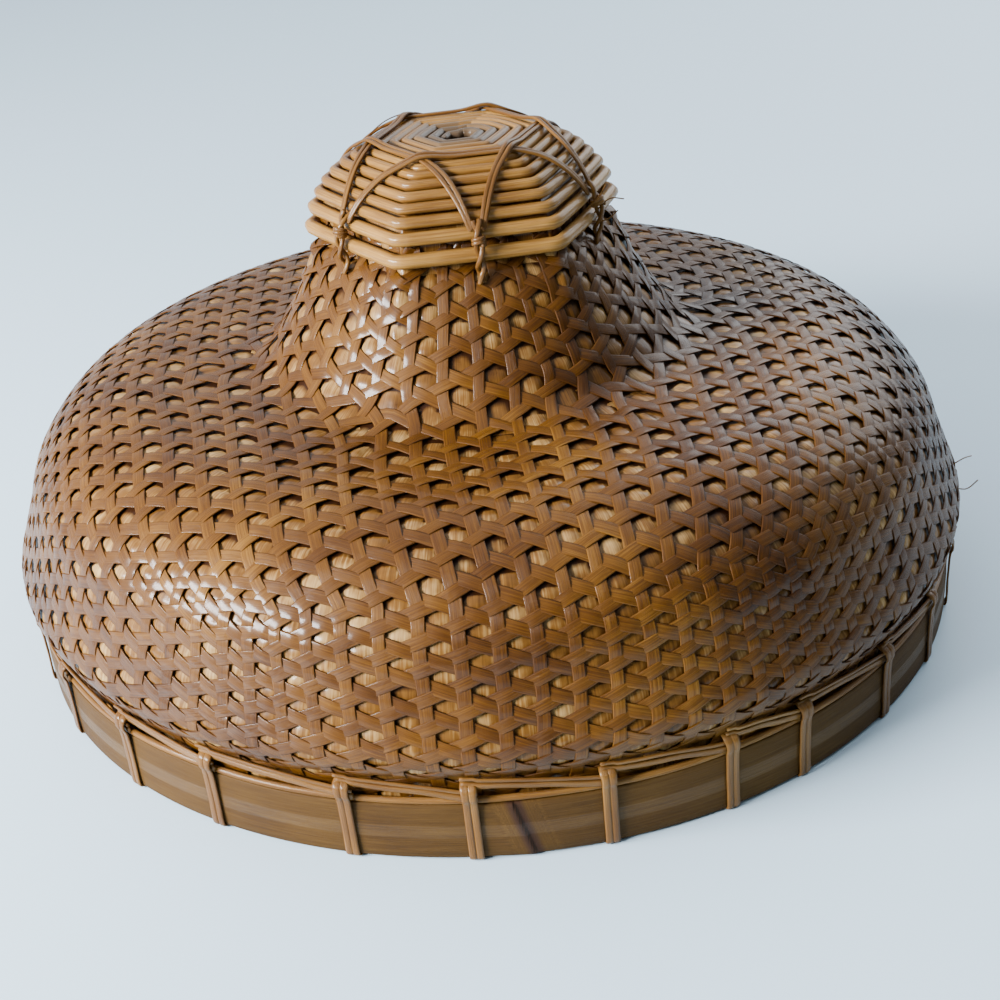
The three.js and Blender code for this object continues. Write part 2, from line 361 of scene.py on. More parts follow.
# Round rods of the cap: lighter, and stained round the eye
rodFinish = {
    "deep": (0.065, 0.022, 0.003), "brown": (0.18, 0.077, 0.013), "honey": (0.33, 0.165, 0.036),
    "pale": (0.48, 0.29, 0.095), "roughness": (0.28, 0.5), "coat": 0.36, "coatRoughness": 0.17,
    "fibre": 0.00014, "contrast": 1.35,
    "stain": {"colour": (0.050, 0.036, 0.026), "from": 11.5, "soft": 2.0},
}
# Thin strands of ties, knots and lashings: the rod's finish, darker and without its stain
strandFinish = dict(rodFinish, brown=(0.115, 0.045, 0.007), honey=(0.20, 0.090, 0.017),
                    pale=(0.31, 0.165, 0.045), coat=0.3, stain=None)
# The rim's cane: one wide strip with long grain, stained at the lap
caneFinish = {
    "deep": (0.024, 0.009, 0.002), "brown": (0.068, 0.031, 0.005), "honey": (0.110, 0.054, 0.010),
    "pale": (0.160, 0.088, 0.021), "roughness": (0.36, 0.6), "coat": 0.16, "coatRoughness": 0.24,
    "fibre": 0.00016, "contrast": 1.1,
    "stain": {"colour": (0.035, 0.014, 0.008), "from": 82.0, "soft": 1.2},
}


# Tone = streaks along the strand + the strand's own shade + blotches over the hat + fibres, spread by
# the contrast and read through a ramp of browns. The edges are darker and less glossy. Strands whose
# number is past the stain's "from" turn to its colour.
def stripMaterial(name, finish):
    look = stripLook
    material = newMaterial(name)
    p = Paint(material)
    length, across, number = p.grain()

    def stretched(key):
        (along, aside, own), noise = look[key]
        return p.noise(p.vector(length * along, across * aside, number * own), *noise)

    streak, fibre = stretched("streak"), stretched("fibre")
    (x, y), noise = look["strip"]
    strip = p.noise(p.vector(number * x, number * y, 0.5), *noise)
    blotch = p.noise(p.place(), *look["blotch"])
    tone = streak * look["streakShare"] + strip * look["stripShare"] + blotch * look["blotchShare"]
    tone = (tone + fibre * look["fibreShare"] - look["middle"]) * finish["contrast"] + 0.5
    colour = p.ramp(tone, finish, look["stops"])
    edge = p.fit(across * across, look["edgeFrom"], 1.0)
    colour = p.mix(edge * look["edgeDark"], colour, (*finish["deep"], 1))
    stain = finish["stain"]
    if stain:
        cover = p.fit(number + blotch * stain["soft"], stain["from"], stain["from"] + stain["soft"])
        colour = p.mix(cover * look["stainCover"], colour, (*stain["colour"], 1))
    roughness = p.fit(fibre * 0.5 + blotch * 0.5, *noiseRange, *finish["roughness"])
    coat = (1 - edge * look["edgeMatt"]) * finish["coat"]
    p.set(Base_Color=colour, Roughness=roughness + edge * look["edgeRough"], Coat_Weight=coat)
    p.set(Coat_Roughness=finish["coatRoughness"], Specular_IOR_Level=specularLevel)
    p.bump(fibre + streak * 0.5, finish["fibre"])
    return material


# Dried leaf: fine parallel veins, soft patches, some darker leaves, and painted shade round each hole's edge,
# where the strips would shade the leaf
leafFinish = {
    "dark": (0.045, 0.016, 0.003), "tan": (0.145, 0.061, 0.011), "pale": (0.44, 0.27, 0.100),
    # The last colour here is painted shade for the leaf's low parts beside the strips.
    "holeShade": (0.022, 0.007, 0.002), "vein": 0.00010,
    "patch": ((0.03, 0.028), (1.0, 2.0, 0.5)), "veins": ((0.05, 1.6), (1.0, 2.0, 0.6)),
    "bend": 1.5,       # how far the patches bend the veins
    "stain": (55.0, 3.0, 0.65),
    "veinShare": 0.40, "patchShare": 0.45, "stainShare": 0.60, "middle": 0.22,
    "stops": {"dark": 0.30, "tan": 0.50, "pale": 0.72},
    # The first range is the swell over which that painted shade gives way to the leaf's own colour.
    "unshaded": (0.10, 0.28), "ragged": 0.12, "roughness": (0.26, 0.5), "coat": 0.25, "coatRoughness": 0.16,
}


# Veins are noise squeezed across the leaf's length, and patches tell one leaf from the next. The
# grain's third value is how far the leaf swells into a hole, and a painted shade colour takes over where it
# is low.
def leafMaterial(name, finish):
    material = newMaterial(name)
    p = Paint(material)
    length, across, swell = p.grain()
    (along, aside), noise = finish["patch"]
    patch = p.noise(p.vector(length * along, across * aside, 0.0), *noise)
    (along, aside), noise = finish["veins"]
    veins = p.noise(p.vector(length * along + patch * finish["bend"], across * aside, 2.0), *noise)
    stain = p.noise(p.place(), *finish["stain"])
    tone = veins * finish["veinShare"] + patch * finish["patchShare"] + stain * finish["stainShare"]
    colour = p.ramp(tone - finish["middle"], finish, finish["stops"])
    # Painted shade: where the swell is low, beside the strips and in the holes it hardly fills, the leaf's
    # colour turns to the dark shade colour.
    unshaded = p.fit(swell + stain * finish["ragged"], *finish["unshaded"])
    p.set(Base_Color=p.mix(unshaded, (*finish["holeShade"], 1), colour))
    p.set(Roughness=p.fit(stain, *noiseRange, *finish["roughness"]), Specular_IOR_Level=specularLevel)
    p.set(Coat_Weight=unshaded * finish["coat"], Coat_Roughness=finish["coatRoughness"])
    p.bump(veins, finish["vein"])
    return material


# Weave: three sets of strips in a lattice of hexagons. One sector of the hat has its own flat
# coordinates x and y, counted in strip spacings: y grows from the crown to the rim.
weave = {
    "crownEnd": 9,     # half rows of holes from the cap to the crown's foot
    "brimEnd": 24,     # half rows down to the brim's shoulder
    "rimEnd": 42,      # half rows down to the rim's foot
    "lengths": (-5.0, 56.0, 160.0, 256.0),  # lengths below the cap's edge of row 0 and of those three
    "flatFrom": 3.0,   # rows over which the lattice flattens at the crown's foot
    "flatEnd": 21.0,   # row down the skirt where it is rolled again
    "flatFade": 12.0,  # rows that this takes
    "stepsPerRow": 6.0,
    "mostSteps": 900,
    "width": 4.9,
    "crownWidth": 4.1,
    "fullWidth": 90,   # length below the cap's edge where the strips reach their full width
    "uneven": (0.92, 1.06),
    "thickness": 0.56,
    "squareness": 0.35,
    "sectionPoints": 10,
    "wave": 0.26,      # how far a strip rises over and dips under the others
    "crest": 1.35,     # flattens the wave's tops
    "sink": 0.8,       # depth of the strips' middle under the hat's outer face
    "stray": 0.35,     # how far a strip wanders sideways
    "strayWaves": 9,
    "shift": [(0.55, 3, 31, 0), (0.4, 7, -23, 1), (0.3, 11, math.inf, 2)],  # the lattice's pull, degrees
    "drop": [(1.5, 2, 40, 0), (1.0, 5, -27, 2), (0.7, 9, math.inf, 4)],     # and down the hat
    "pullFade": 60,    # length over which the pull grows from the cap and fades to the rim
    "pullEnd": 235,
    "pieces": 4,
    "seed": 11,
}
rootThree = math.sqrt(3)
crownRow, brimRow, rimRow = (weave[k] / rootThree for k in ("crownEnd", "brimEnd", "rimEnd"))
latticeRows = (0, crownRow, brimRow, rimRow)
rollTurn = math.pi / 6 * rootThree  # azimuth in radians for one unit of x / y on the rolled lattice
halfRim = brimRow / rootThree       # half width of a sector at the rim, in strip spacings


# Height wave of a strip: over the next family in the cycle at +1, under the third at -1.
def heightWave(family, x, y):
    other = np.cos(tau * (-x / 2 + rootThree / 2 * y - 0.5))
    own = np.cos(tau * x)
    return np.select([family == 0, family == 1], [other, own], -own)


# Eases from 0 to 1 with a level start and end.
def ease(value):
    part = np.clip(value, 0, 1)
    return 3 * part**2 - 2 * part**3


# How flat the lattice lies at a row: 0 round the crown, 1 on the flat brim, 0 again down the skirt.
def flatness(y):
    return ease((y - crownRow) / weave["flatFrom"]) * ease((weave["flatEnd"] - y) / weave["flatFade"])


# Flat lattice: azimuth is atan(x / y) and the row is the distance from the middle. Rolled lattice:
# azimuth grows evenly with x and the row is y. The two are mixed by the flatness.
def latticeToHat(sector, x, y):
    flat = flatness(y)
    share = x / np.clip(y, crownRow, brimRow)
    angle = flat * np.arctan(share) + (1 - flat) * share * rollTurn
    row = y * (1 + (1 / np.cos(angle) - 1) * flat)
    azimuth = hat["firstKnot"] + sideAngle * sector + np.degrees(angle)
    return azimuth, np.interp(row, latticeRows, weave["lengths"])


# Slow uneven pull of the whole lattice: sines whose waves close round the hat.
def warp(azimuth, below):
    a = np.radians(azimuth)
    fade = np.clip(below / weave["pullFade"], 0, 1)
    shift, drop = ripple(weave["shift"], a, below), ripple(weave["drop"], a, below)
    rimFade = np.clip((weave["pullEnd"] - below) / weave["pullFade"], 0, 1)
    return azimuth + fade * shift, below + fade * drop * rimFade


# Follows every strip inwards from the rim. A border between sectors turns it by 60 degrees on the
# brim, and shifts it by a sector's width on crown and skirt. A strip that comes back to the rim is
# kept from one end only.
def traceStrips():
    count = int(round(2 * halfRim))
    upright = np.arange(count) - (count - 1) / 2
    diagonal = np.arange(-halfRim + 1, halfRim, 2) - weave["rimEnd"] % 2
    starts = np.concatenate([upright, diagonal, diagonal])
    families = np.repeat([0, 1, 2], [len(upright), len(diagonal), len(diagonal)])
    x = np.tile(starts, hat["sides"])
    family = np.tile(families, hat["sides"])
    sector = np.repeat(np.arange(hat["sides"]), len(starts))
    y = np.full(len(x), rimRow)
    sign = np.where(family == 2, 1.0, -1.0)
    directions = np.array([(0, 1), (rootThree / 2, 0.5), (rootThree / 2, -0.5)])
    step = 2 / rootThree / weave["stepsPerRow"]
    alive = np.ones(len(x), bool)
    last = np.zeros(len(x), int)
    record = []
    for turn in range(weave["mostSteps"]):
        record.append((x.copy(), y.copy(), sector.copy(), family.copy()))
        last[alive] = turn
        x = x + alive * sign * directions[family, 0] * step
        y = y + alive * sign * directions[family, 1] * step
        alive = alive & (y > 0) & (y < rimRow)
        edge = np.clip(y, crownRow, brimRow) / rootThree
        for side in (1, -1):
            over = alive & (side * x > edge)
            rolled = over & ((y <= crownRow) | (y >= brimRow))
            x = np.where(rolled, x - side * 2 * edge, x)
            turned = over & ~rolled
            c, s = 0.5, side * rootThree / 2
            x, y = np.where(turned, x * c - y * s, x), np.where(turned, x * s + y * c, y)
            flips = turned & (family == (0 if side == 1 else 2))
            sign = np.where(flips, -sign, sign)
            family = np.where(turned, (family - side) % 3, family)
            sector = sector + side * over
        if not alive.any():
            break
    xs, ys, sectors, families = (np.array([r[k] for r in record]) for k in range(4))
    strips = []
    for k, end in enumerate(last + 1):
        azimuth, below = latticeToHat(sectors[:end, k], xs[:end, k], ys[:end, k])
        comesBack = ys[end - 1, k] > brimRow
        if comesBack and azimuth[0] % 360 > azimuth[-1] % 360:
            continue
        strips.append((azimuth, below, heightWave(families[:end, k], xs[:end, k], ys[:end, k])))
    return strips


# Each point moves twice to the mean of itself and its neighbours, and the ends stay.
def soften(line):
    for _ in range(2):
        line = np.concatenate([line[:1], (line[:-2] + 2 * line[1:-1] + line[2:]) / 4, line[-1:]])
    return line


# Each strip is a section one unit wide carried along its line, and then stretched sideways to its
# width, so that the stretch leaves the thickness as it is.
def buildWeave():
    s = weave
    material = stripMaterial("strip_varnish", stripFinish)
    strips = traceStrips()
    print("strips", len(strips))
    section = ovalSection(1, 1, s["sectionPoints"], s["squareness"])
    shaped = section * np.array([1, s["thickness"]])
    builds = [Build() for _ in range(s["pieces"])]
    random = np.random.default_rng(s["seed"])
    order = random.permutation(len(strips))
    for place, k in enumerate(order):
        azimuth, below, height = strips[k]
        azimuth, below = warp(soften(azimuth), soften(below))
        rise = s["wave"] * np.clip(s["crest"] * height, -1, 1)
        path, normals = onBody(azimuth, below, rise - s["sink"])
        along = np.gradient(path, axis=0)
        across = np.cross(along / np.linalg.norm(along, axis=1)[:, None], normals)
        path = path + across * wander(len(path), s["stray"], s["strayWaves"], int(k))[:, None]
        width = np.interp(below, (0, s["fullWidth"]), (s["crownWidth"], s["width"]))
        width = width * random.uniform(*s["uneven"])
        sideways = section[None, :, :1] * (width[:, None, None] - 1)
        acrossUnit = across / np.linalg.norm(across, axis=1)[:, None]
        grid = carry(path, normals, shaped) + acrossUnit[:, None] * sideways
        builds[place % s["pieces"]].add(grid, grainOf(path, section, k + 1))
    for i, build in enumerate(builds):
        piece = build.finish(f"weave_strips_{i + 1}", material)
        if i == 0:
            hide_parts("woven_body")


buildWeave()
print("weave built")


# Lining: one leaf-covered wall behind the weave that swells a little into each hole
lining = {
    "segments": 576, "outerRows": 136, "innerRows": 24, "axisGap": 3, "wall": 0.9,
    "behind": 2.15,    # depth of the leaf under the hat's outer face
    "underCap": 0.4,   # the same under the cap
    "capFade": (-6, 3),  # lengths below the cap's edge between which the one becomes the other
    "swell": 1.2, "shift": 0.15, "fullness": 1.7,
    "emptyHoles": 0.09, "emptyFill": 0.25, "fill": 0.8, "fillChange": 0.2, "fillWaves": 7,
    "scatter": (12.9898, 78.233, 43758.5453),
    "topSwell": 0.3, "topTo": -40, "holesFrom": -2,
    "rounds": 8, "grainRadius": 120,
}


# The lattice place of a point of the hat: latticeToHat turned round by a few rounds of substitution.
def hatToLattice(azimuth, below):
    angle = np.radians(fromSideMiddle(azimuth))
    row = np.interp(below, weave["lengths"], latticeRows)
    y, share = row, np.tan(angle)
    for _ in range(lining["rounds"]):
        flat = flatness(y)
        y = row / (1 + (1 / np.cos(angle) - 1) * flat)
        slope = np.where(np.abs(share) > 1e-6, np.arctan(share) / np.where(share == 0, 1, share), 1)
        share = angle / (flat * slope + (1 - flat) * rollTurn)
    return share * np.clip(y, crownRow, brimRow), y


# 1 in the middle of a hole and 0 at its strips: the mean of the three strip waves, cut at zero. The
# leaf lies a little towards the rim in each hole, so its painted shade lies on the hole's crown side. The
# fraction of a large sine picks the holes that stay empty: the leaf hardly swells into them, and painted
# shade covers most of it there, standing in for the dark inside of the hat.
def holeSwell(azimuth, below):
    s = lining
    a, b = warp(azimuth, below)
    x, y = hatToLattice(2 * azimuth - a, 2 * below - b)
    slant = rootThree / 2 * (y - s["shift"])
    rising, falling = -x / 2 + slant, x / 2 + slant
    waves = (np.cos(tau * x) + np.cos(tau * rising) + np.cos(tau * falling)) / 3
    hole = np.sin(np.round(x) * s["scatter"][0] + np.round(rising) * s["scatter"][1]) * s["scatter"][2]
    full = s["fill"] + s["fillChange"] * np.sin(s["fillWaves"] * hole)
    filled = np.where(hole % 1 < s["emptyHoles"], s["emptyFill"], full)
    swell = np.clip(s["fullness"] * waves, 0, 1) * filled
    return np.where(below > s["holesFrom"], swell, s["topSwell"] * (below > s["topTo"]))


def buildLining():
    s = lining
    azimuth = np.linspace(0, 360, s["segments"], endpoint=False)[None, :]
    top, end = s["axisGap"] - capEdge, bodyLength[-1] - capEdge
    outer = np.linspace(top, end, s["outerRows"])[:, None]
    inner = np.linspace(end, top, s["innerRows"])[:, None]
    swell = holeSwell(azimuth, outer)
    lift = s["swell"] * swell * (outer > 0) - np.interp(outer, s["capFade"], (s["underCap"], s["behind"]))
    outerGrid, _ = onBody(azimuth + 0 * outer, outer + 0 * azimuth, lift)
    innerGrid, _ = onBody(azimuth + 0 * inner, inner + 0 * azimuth, 0 * inner - s["behind"] - s["wall"])
    grid = np.concatenate([outerGrid, innerGrid])[::-1]
    rows = np.concatenate([outer, inner])[::-1]
    arc = np.radians(azimuth) * s["grainRadius"]
    # The grain's third value carries the swell, which the leaf's material turns into painted shade where it
    # is low; the inner face counts as fully swollen.
    depth = np.concatenate([swell, np.ones((s["innerRows"], s["segments"]))])[::-1]
    grain = np.stack([rows + 0 * arc, arc + 0 * rows, depth], -1)
    build = Build()
    build.add(grid, grain)
    piece = build.finish("leaf_wall", leafMaterial("dried_leaf", leafFinish))
    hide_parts("leaf_lining")


buildLining()
print("lining built")


# Cap: one rod wound from the lowest round up to the eye of the crown
coil = {
    "width": 4.3, "thickness": 4.3, "sectionPoints": 12, "squareness": 1.0,
    "pitch": 5.1, "spread": 6.5, "spreadOver": 7.0, "eye": 2.6, "start": 80,
    "climbFrom": 5 / 6, "roundSteps": 120,
    "ridge": (0.45, 60, 5), "drift": (0.55, 50, 6), "uneven": (0.035, 160, 7),  # reach, waves, seed
    "thick": ((0, 0.06, 0.9, 2, 3.4), (0.8, 1.36, 1.34, 1.16, 1.0)),  # the lowest rounds are thicker
    "tail": 0.4, "tailThick": 0.7,  # part of a round over which the rod thins at its end
}


# A spiral whose rounds lie level and climb one pitch in the last part of each turn. The lowest rounds
# are spread apart: the length gains "spread" along an exponential, which the upper rounds give back.
def buildCoil():
    s = coil
    reach = capLength[-1] - s["eye"]
    turn = np.arange(int(reach / s["pitch"] * s["roundSteps"]) + 1) / s["roundSteps"]
    level = (np.floor(turn) + ease((turn % 1 - s["climbFrom"]) / (1 - s["climbFrom"]))) * s["pitch"]
    length = level + s["spread"] * (1 - np.exp(-level / s["spreadOver"])) * (1 - level / reach)
    azimuth = s["start"] + 360 * turn
    lift = wander(len(turn), *s["ridge"])
    path, normals = onCap(length + wander(len(turn), *s["drift"]), azimuth, lift)
    section = sectionOf(s)
    taper = np.interp(turn, *s["thick"])
    taper = taper * np.interp(turn, (turn[-1] - s["tail"], turn[-1]), (1, s["tailThick"]))
    taper = taper * (1 + wander(len(turn), *s["uneven"]))
    grain = grainOf(path, section, 1)
    grain[..., 2] = np.floor(turn)[:, None] + 1
    build = Build()
    build.add(carry(path, normals, section, taper), grain)
    piece = build.finish("cap_rod", stripMaterial("rod_varnish", rodFinish))
    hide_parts("crown_coil")


buildCoil()
print("coil built")


strandMaterial = stripMaterial("strand_varnish", strandFinish)

# Ties: pairs of thin strands from each knot to the second next one, over and then under
ties = {
    "width": 1.9, "thickness": 1.35, "sectionPoints": 10, "squareness": 0.8, "steps": 90,
    "apart": 2.05, "joinPower": 0.3,  # distance of the two strands, and how late they part
    "lift": 2.9, "foot": 0.8, "footPower": 8,  # height over the rod line, and the rise at both ends
    "cross": 1.6, "crossWidth": 7.0, "crossAt": 1 / 3,  # the hump over the tie that is crossed
    "end": 0.13, "turn": 2.4,  # where a tie ends: part of the cap's line, and degrees beside the knot
    "drift": 0.35, "driftWaves": 4, "seed": 40, "number": 20, "samples": 400,
}


# Straight in plan between two knots; the cap's surface gives the height, plus a hump at a third.
def tiePath(index, sideways):
    s = ties
    ends = np.array([s["turn"], 2 * sideAngle - s["turn"]])
    knots = np.radians(hat["firstKnot"] + sideAngle * index + ends)
    lengths = np.linspace(0, capLength[-1], s["samples"])
    lifted, _ = onCap(lengths, hat["firstKnot"], s["lift"])
    reachOf = -lifted[:, 1]
    reach = np.interp(s["end"] * capLength[-1], lengths, reachOf)
    start, stop = reach * np.stack([np.cos(knots), np.sin(knots)], 1)
    size = np.linalg.norm(stop - start)
    along = (stop - start) / size
    t = (1 - np.cos(np.linspace(0, math.pi, s["steps"]))) / 2
    fade = np.sin(math.pi * t) ** s["joinPower"]
    flat = start + (stop - start) * t[:, None] + np.array([-along[1], along[0]]) * (sideways * fade)[:, None]
    azimuth = np.degrees(np.arctan2(flat[:, 1], flat[:, 0]))
    radius = np.hypot(flat[:, 0], flat[:, 1]) / hexFactor(azimuth, hat["capHex"])
    length = np.interp(-radius, -reachOf, lengths)
    hump = np.exp(-(((t - s["crossAt"]) * size / s["crossWidth"]) ** 2))
    foot = s["foot"] * (2 * t - 1) ** s["footPower"]
    return onCap(length, azimuth, s["lift"] + s["cross"] * hump + foot)


def buildTies():
    s = ties
    section = sectionOf(s)
    for index in range(hat["sides"]):
        build = Build()
        for side in (-1, 1):
            own = 2 * index + side
            drift = wander(s["steps"], s["drift"], s["driftWaves"], s["seed"] + own)
            path, normals = tiePath(index, side * s["apart"] / 2 + drift)
            build.strand(path, normals, section, s["number"] + own)
        piece = build.finish(f"tie_strands_{index + 1}", strandMaterial)
        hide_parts(f"crown_tie_{index + 1}")


buildTies()
print("ties built")


# Knots: two strands twisted round each other down over the lowest rounds, with a short wrap round
# them near the top
knots = {
    "width": 2.1, "thickness": 1.7, "sectionPoints": 8, "squareness": 0.85, "steps": 60,
    "twist": 1.15, "turns": 1.4, "number": 60,
    "wrapRadius": 2.3, "wrapTurns": 2.2, "wrapFrom": 16, "wrapTo": 22,  # steps of the bundle's path
    "wrapThin": 0.8, "wrapNumber": 75,
    "profile": [(54.6, 185.5), (57.2, 182.5), (58.9, 178), (59.6, 173.5), (59.2, 169.5), (57.9, 166),
                (58.4, 161.5)],
}


# An r, z profile stood up at an azimuth, moved sideways, with normals that point away from it.
def radialPath(profile, steps, azimuth, sideways):
    curve = smoothCurve(profile, steps)
    _, normal = withNormals(curve)
    a = math.radians(azimuth)
    outward, aside = np.array([math.cos(a), math.sin(a), 0]), np.array([-math.sin(a), math.cos(a), 0])
    upward = np.array([0, 0, 1])
    path = curve[:, :1] * outward + curve[:, 1:2] * upward + np.asarray(sideways)[:, None] * aside
    return path, -normal[:, :1] * outward - normal[:, 1:2] * upward


# The two strands lie opposite each other on a circle that moves down the profile. The wrap is a helix
# round them between two steps of the profile.
def buildKnots():
    s = knots
    section = sectionOf(s)
    u = np.linspace(0, 1, s["steps"])
    around = tau * s["wrapTurns"] * u
    for index in range(hat["sides"]):
        build = Build()
        azimuth = hat["firstKnot"] + sideAngle * index
        for side in (0, 1):
            phase = math.pi * side + tau * s["turns"] * u + index
            path, normals = radialPath(s["profile"], s["steps"], azimuth, s["twist"] * np.cos(phase))
            path = path + normals * (s["twist"] * np.sin(phase))[:, None]
            build.strand(path, normals, section, s["number"] + 2 * index + side)
        middle, normals = radialPath(s["profile"], s["steps"], azimuth, 0 * u)
        low, high, out = middle[s["wrapTo"]], middle[s["wrapFrom"]], normals[s["wrapFrom"]]
        sideways = np.cross(out, (low - high) / np.linalg.norm(low - high))
        ray = np.cos(around)[:, None] * sideways + np.sin(around)[:, None] * out
        path = high + (low - high) * u[:, None] + s["wrapRadius"] * ray
        build.strand(path, ray, section * s["wrapThin"], s["wrapNumber"] + index)
        piece = build.finish(f"knot_loops_{index + 1}", strandMaterial)
        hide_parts(f"crown_knot_{index + 1}")


buildKnots()
print("knots built")


# Rim band: one flat cane with a lapped end at the front
band = {
    "outer": 199.0, "wall": 2.4, "foot": 1.0, "top": 24.5, "swell": 0.25,
    "edge": 0.5, "inset": 0.6, "bevel": 0.3, "bevelHeight": 0.4, "outerRows": 9,
    "stations": 900, "nearLap": 2, "nearStations": 60,  # more stations near the lap, in degrees
    "lapEdge": -94.3, "lapEnd": -98.4, "lapSlant": 1.0, "lapStep": 0.8, "lapSoft": 0.12, "stepTo": 90,
    "topWaves": [(0.18, 5, math.inf, 1), (0.12, 13, math.inf, 0)],
    "number": 80, "lapNumber": 0.5, "lapTo": 150, "grainWidth": 4,
    "stainRise": 3, "stainShift": 0.2, "stainReach": 1.1,
}


# A rounded section carried round the rim. The lap lifts the outer face from a slanted edge onward.
# The strand number rises in a narrow bump at the lap, which calls up the cane's stain.
def buildBand():
    s = band
    near = np.linspace(s["lapEdge"] - s["nearLap"], s["lapEdge"] + s["nearLap"], s["nearStations"]) % 360
    azimuth = np.concatenate([np.linspace(0, 360, s["stations"], endpoint=False), near])
    azimuth = np.unique(azimuth.round(3))[:, None]
    height, inner, face = s["top"] - s["foot"], s["outer"] - s["wall"], s["outer"] - s["inset"]
    v = np.linspace(0, 1, s["outerRows"])
    outerZ = s["foot"] + s["edge"] + (height - 2 * s["edge"]) * v
    outerR = s["outer"] + s["swell"] * (4 * v * (1 - v) - 1)
    r = np.concatenate([[face], outerR, [face, inner + s["bevel"], inner, inner, inner + s["bevel"]]])
    z = np.concatenate([[s["foot"]], outerZ, [s["top"], s["top"], s["top"] - s["bevelHeight"],
                                              s["foot"] + s["bevelHeight"], s["foot"]]])
    outward = np.concatenate([np.ones(s["outerRows"] + 2), np.zeros(4)])
    slant = s["lapSlant"] * (1 - 2 * (z - s["foot"]) / height)
    behind = (s["lapEdge"] + slant - azimuth + 180) % 360 - 180
    fade = 1 - np.clip(behind / (s["lapEdge"] - s["lapEnd"]), 0, 1)
    step = s["lapStep"] * np.clip(behind / s["lapSoft"] + 0.5, 0, 1) * fade * (behind < s["stepTo"])
    radius = r + outward * step
    a = np.radians(azimuth)
    grid = np.stack([radius * np.cos(a), radius * np.sin(a), z + 0 * a], -1)
    grid[..., 2] += ripple(s["topWaves"], a) * (z > s["foot"] + height / 2)
    across = ((z - s["foot"]) / height * 2 - 1) * s["grainWidth"]
    stain = s["stainRise"] * np.exp(-(((behind + s["stainShift"]) / s["stainReach"]) ** 2))
    number = s["number"] + s["lapNumber"] * ((behind > 0) & (behind < s["lapTo"])) + stain
    grain = np.stack([a * s["outer"] + 0 * radius, across + 0 * radius, number], -1)
    build = Build()
    build.add(grid[:, ::-1], grain[:, ::-1], loop=True)
    piece = build.finish("rim_cane", stripMaterial("cane_varnish", caneFinish))
    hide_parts("rim_band")


buildBand()
print("band built")

bindingNodes = sorted(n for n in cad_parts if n.startswith("rim_binding_"))


def azimuthOf(node):
    low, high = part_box(node)
    return math.degrees(math.atan2(low.y + high.y, low.x + high.x))


bindingAzimuths = [azimuthOf(n) for n in bindingNodes]

# Filler: a rod along the band's top edge, and two strands over it that slant from binding to binding
filler = {
    "ring": 197.6, "height": 25.9, "radius": 1.3, "stations": 720, "sectionPoints": 8, "number": 90,
    "ringWaves": [(0.12, 17, math.inf, 0)], "heightWaves": [(0.15, 11, math.inf, 1)],
    "steps": 36, "overlap": 0.06,  # how far a strand runs on past its bindings, in parts of its length
    "arch": 0.8, "drift": 0.3, "driftWaves": 3, "seed": 300, "strandNumber": 100,
    "lift": 0.9, "rise": 1.6, "tuck": 0.5, "tuckTo": 0.05,
    "strands": [
        {"width": 3.3, "thickness": 1.8, "sectionPoints": 8, "squareness": 0.85, "from": 33.2, "to": 27.8},
        {"width": 1.9, "thickness": 1.2, "sectionPoints": 8, "squareness": 0.85, "from": 36.6, "to": 31.0},
    ],
}


# The rod is a ring with small waves. Each strand falls evenly from one binding to the next, a little
# arched, and lifts off the weave as it goes.
def buildFiller():
    s = filler
    a = np.radians(np.linspace(0, 360, s["stations"], endpoint=False))[:, None]
    around = tau * np.arange(s["sectionPoints"]) / s["sectionPoints"]
    radial = s["ring"] + ripple(s["ringWaves"], a) + s["radius"] * np.cos(around)
    upward = s["height"] + ripple(s["heightWaves"], a) + s["radius"] * np.sin(around)
    grid = np.stack([radial * np.cos(a), radial * np.sin(a), upward], -1)
    grain = np.stack([a * s["ring"] + 0 * radial, np.cos(around) + 0 * radial, 0 * radial + s["number"]], -1)
    build = Build()
    build.add(grid, grain, loop=True)
    ordered = sorted(azimuth % 360 for azimuth in bindingAzimuths)
    u = np.linspace(-s["overlap"], 1 + s["overlap"], s["steps"])
    lift = s["lift"] + s["rise"] * u**2 - s["tuck"] * (u < s["tuckTo"])
    for k, (start, stop) in enumerate(zip(ordered, ordered[1:] + [ordered[0] + 360])):
        for j, strand in enumerate(s["strands"]):
            drift = wander(len(u), s["drift"], s["driftWaves"], s["seed"] + 2 * k + j)
            z = strand["from"] + (strand["to"] - strand["from"]) * u + s["arch"] * np.sin(math.pi * u) + drift
            path, normals = onBody(start + (stop - start) * u, bodyLengthAt(z) - capEdge, lift)
            build.strand(path, normals, sectionOf(strand), s["strandNumber"] + 3 * k + j)
    piece = build.finish("rim_strands", strandMaterial)
    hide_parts("rim_filler")


buildFiller()
print("filler built")

# Bindings: two strands side by side that come out of the weave, cross the band and turn under it
bindings = {
    "width": 2.9, "thickness": 1.0, "sectionPoints": 8, "squareness": 0.85, "steps": 64, "apart": 2.6,
    "lean": 1.9, "leanChange": 0.6, "leanWaves": 3.7, "leanFrom": 0.3,
    "knob": 0.3, "knobAt": 0.13, "knobReach": 0.06,  # the thickening where a binding leaves the weave
    "drift": 0.1, "driftWaves": 3, "seed": 200, "number": 140,
    "profile": [(194.8, 33.2), (197.9, 33.2), (200.6, 31.4), (201.2, 28.4), (200.2, 25), (199.75, 13),
                (199.7, 2.4), (198.5, 0.85), (196, 0.72), (193.4, 0.75), (191.9, 1.6), (191.5, 5),
                (191.5, 26)],
}


